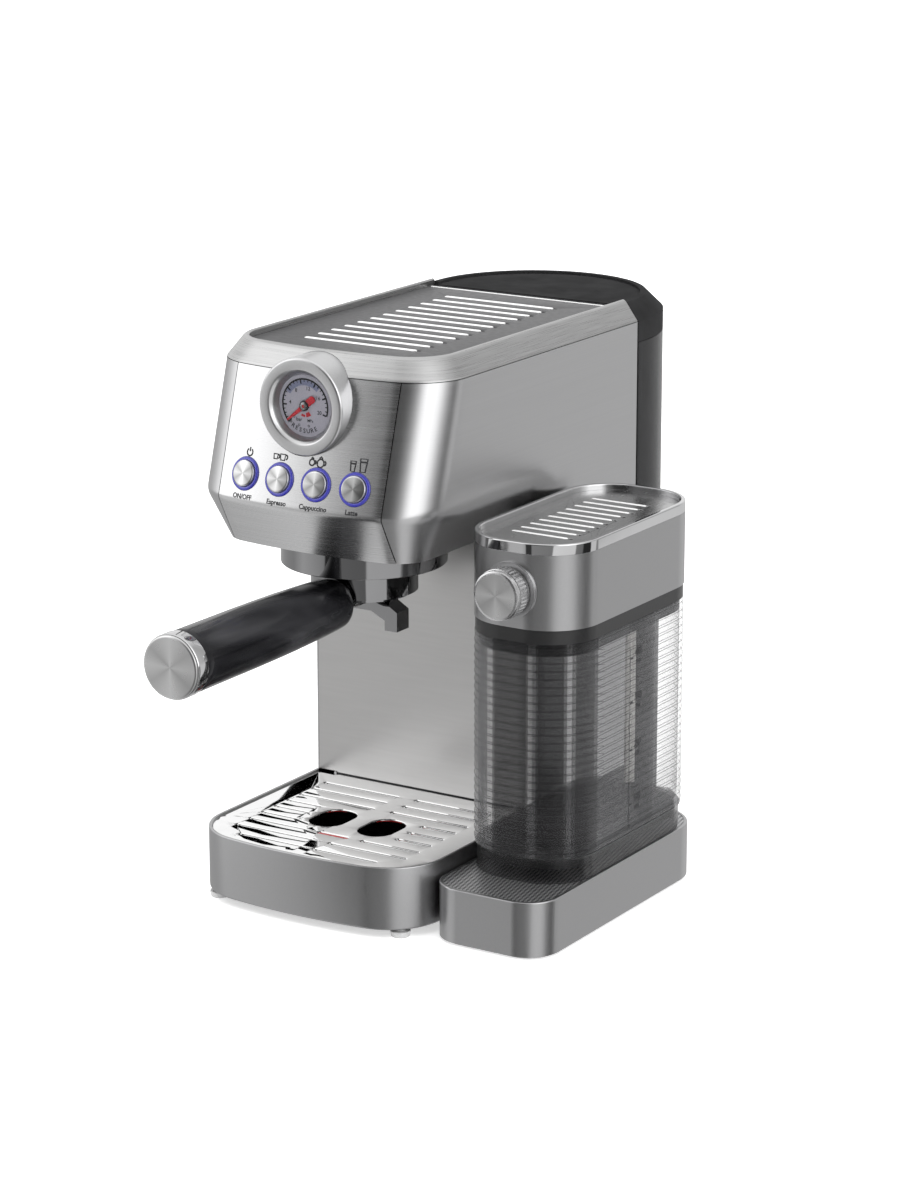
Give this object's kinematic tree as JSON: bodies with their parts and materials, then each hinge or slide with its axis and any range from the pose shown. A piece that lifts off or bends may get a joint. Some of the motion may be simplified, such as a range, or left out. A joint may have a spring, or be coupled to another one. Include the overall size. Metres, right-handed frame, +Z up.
{
  "type": "espresso machine",
  "caption": "Slim pump espresso machine with tilted button panel, pressure gauge, locking filter holder, rear water tank, drip tray and a milk-frothing unit docked at its side.",
  "frame": {"origin": "centre of the footprint on the worktop, under the middle of the overall box", "axes": "+Z up, -Y towards the user (the filter handle), +X towards the milk unit's side"},
  "size_m": [0.2216, 0.438, 0.314],
  "materials": {
    "steel_panel": "horizontally brushed stainless sheet",
    "steel_front": "bright brushed stainless sheet",
    "steel_column": "satin stainless sheet",
    "satin_grey": "satin grey metallic",
    "dark_plate": "polished dark grey",
    "polished_steel": "mirror polished",
    "satin_aluminium": "fine satin",
    "cast_aluminium": "as cast",
    "smoked_plastic": "smoked transparent",
    "clear_plastic": "clear, ribbed",
    "black_plastic": "moulded satin black",
    "grip_plastic": "glossy black with a faint marbled figure",
    "rubber_black": "matt",
    "silicone": "milky silicone",
    "red_plastic": "glossy red",
    "blue_ring": "translucent blue violet",
    "dial_print": "pale lilac grey print",
    "lens_clear": "clear",
    "brass": "machined",
    "circuit_board": "green laminate with parts",
    "white_plastic": "moulded white"
  },
  "bodies": {
    "machine": {"base_plate": "black_plastic", "rubber_feet": "rubber_black", "base_chassis": "black_plastic", "side_shell_left": "steel_panel", "side_shell_right": "steel_panel", "front_fascia": "steel_front", "top_cover": "steel_panel", "warming_plate": "dark_plate", "column_panel": "steel_column", "underside_plate": "black_plastic", "back_panel": "black_plastic", "group_collar": "polished_steel", "group_head": "cast_aluminium", "group_gasket": "rubber_black", "shower_screen": "polished_steel", "thermoblock": "cast_aluminium", "water_pump": "black_plastic", "steam_valve": "brass", "suction_hose": "silicone", "pressure_hose": "silicone", "steam_outlet": "brass", "control_board": "circuit_board", "switch_board": "circuit_board", "power_gland": "rubber_black", "gauge_housing": "satin_aluminium", "gauge_dial": "dial_print", "gauge_lens": "lens_clear", "button_rings": "blue_ring", "tank_valve_seat": "white_plastic", "milk_base": "satin_grey", "milk_mat": "dark_plate", "case_screws": "polished_steel"},
    "portafilter": {"filter_holder": "polished_steel", "coffee_basket": "polished_steel", "spout_block": "polished_steel", "handle_grip": "grip_plastic", "handle_end_ring": "polished_steel", "handle_end_cap": "satin_aluminium"},
    "button_power": {"button_power": "satin_aluminium"},
    "button_espresso": {"button_espresso": "satin_aluminium"},
    "button_cappuccino": {"button_cappuccino": "satin_aluminium"},
    "button_latte": {"button_latte": "satin_aluminium"},
    "needle": {"gauge_needle": "red_plastic"},
    "drip_tray": {"tray_band": "satin_grey", "drip_pan": "black_plastic"},
    "drip_grid": {"drip_grid": "polished_steel"},
    "tray_float": {"tray_float": "red_plastic"},
    "water_tank": {"water_tank": "smoked_plastic", "tank_valve": "white_plastic"},
    "tank_lid": {"tank_lid": "smoked_plastic"},
    "milk_jar": {"milk_jar": "clear_plastic", "milk_jar_foot": "smoked_plastic"},
    "milk_head": {"milk_head_shell": "satin_grey", "milk_trim_ring": "polished_steel", "milk_top_plate": "steel_front", "milk_gasket": "rubber_black", "pickup_tube": "silicone", "froth_valve": "white_plastic"},
    "froth_knob": {"froth_knob": "satin_aluminium"},
    "milk_spout": {"milk_spout": "polished_steel"}
  },
  "joints": [
    {"name": "portafilter_turn", "type": "hinge", "parent": "machine", "child": "portafilter", "pos_m": [-0.0368, -0.0389, 0.185], "axis": [0, 0, 1], "range_deg": [-45, 0]},
    {"name": "press_power", "type": "slide", "parent": "machine", "child": "button_power", "axis": [0.1128, 0.9535, -0.2794], "range_m": [0, 0.0015], "stiffness_N_per_m": 300},
    {"name": "press_espresso", "type": "slide", "parent": "machine", "child": "button_espresso", "axis": [0.0376, 0.959, -0.281], "range_m": [0, 0.0015], "stiffness_N_per_m": 300},
    {"name": "press_cappuccino", "type": "slide", "parent": "machine", "child": "button_cappuccino", "axis": [-0.0376, 0.959, -0.281], "range_m": [0, 0.0015], "stiffness_N_per_m": 300},
    {"name": "press_latte", "type": "slide", "parent": "machine", "child": "button_latte", "axis": [-0.1128, 0.9535, -0.2794], "range_m": [0, 0.0015], "stiffness_N_per_m": 300},
    {"name": "needle_sweep", "type": "hinge", "parent": "machine", "child": "needle", "pos_m": [-0.0368, -0.0935, 0.2863], "axis": [0, 1, 0], "range_deg": [0, 240], "stiffness_Nm_per_rad": 0.0002},
    {"name": "tray_pull", "type": "slide", "parent": "machine", "child": "drip_tray", "axis": [0, -1, 0], "range_m": [0, 0.14]},
    {"name": "grid_lift", "type": "slide", "parent": "drip_tray", "child": "drip_grid", "axis": [0, 0, 1], "range_m": [0, 0.03]},
    {"name": "float_rise", "type": "slide", "parent": "drip_tray", "child": "tray_float", "axis": [0, 0, 1], "range_m": [0, 0.008]},
    {"name": "tank_lift", "type": "slide", "parent": "machine", "child": "water_tank", "axis": [0, 0, 1], "range_m": [0, 0.06]},
    {"name": "lid_open", "type": "hinge", "parent": "water_tank", "child": "tank_lid", "pos_m": [-0.0368, 0.1265, 0.3094], "axis": [1, 0, 0], "range_deg": [0, 95]},
    {"name": "jar_pull", "type": "slide", "parent": "machine", "child": "milk_jar", "axis": [1, 0, 0], "range_m": [0, 0.075]},
    {"name": "milk_head_lift", "type": "slide", "parent": "milk_jar", "child": "milk_head", "axis": [0, 0, 1], "range_m": [0, 0.125]},
    {"name": "froth_turn", "type": "hinge", "parent": "milk_head", "child": "froth_knob", "pos_m": [0.0747, -0.0671, 0.1948], "axis": [0, 1, 0], "range_deg": [0, 150]},
    {"name": "spout_swing", "type": "hinge", "parent": "milk_head", "child": "milk_spout", "pos_m": [0.0439, -0.0331, 0.183], "axis": [0, 0, 1], "range_deg": [0, 90]}
  ]
}
